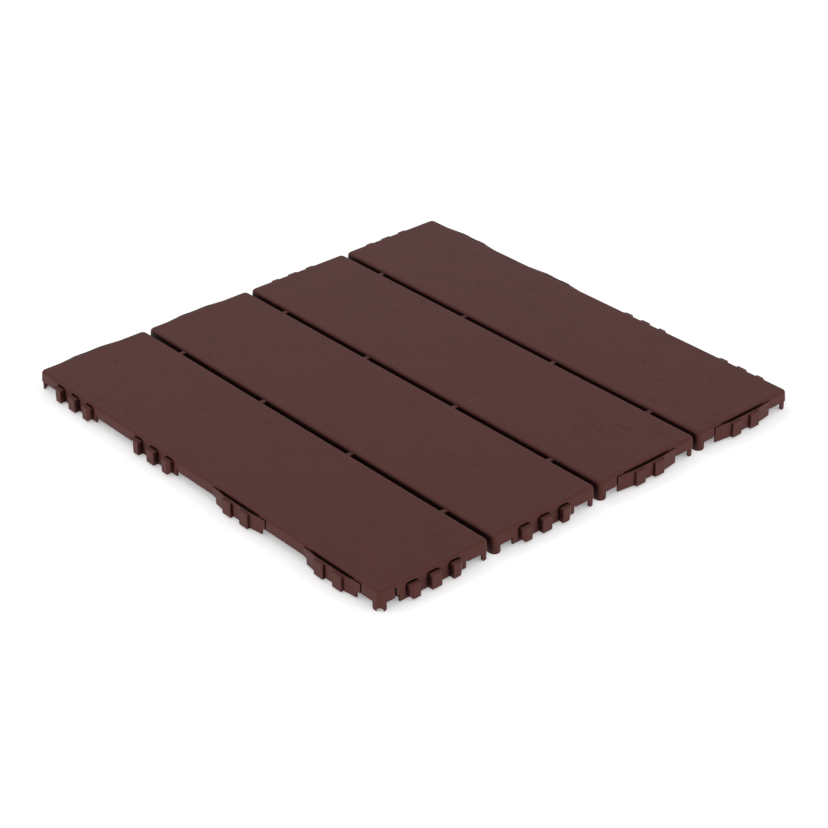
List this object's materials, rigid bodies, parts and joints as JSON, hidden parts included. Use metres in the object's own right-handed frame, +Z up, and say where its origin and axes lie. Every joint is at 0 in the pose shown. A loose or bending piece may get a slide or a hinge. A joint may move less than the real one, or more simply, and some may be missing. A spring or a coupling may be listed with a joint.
{
  "type": "interlocking deck tile",
  "caption": "Square slatted plastic deck tile, hollow and ribbed underneath, with clip and keeper tabs along every edge that join it to its neighbours.",
  "frame": {"origin": "on the ground, under the middle of the tile", "axes": "+Z up, out of the walking surface; +Y along the slats; +X across the slats"},
  "size_m": [0.3038, 0.3038, 0.0115],
  "materials": {
    "tile_plastic": "fine moulded grain, dark reddish brown, slight sheen"
  },
  "bodies": {
    "root": {"deck_tile": "tile_plastic"}
  },
  "joints": []
}
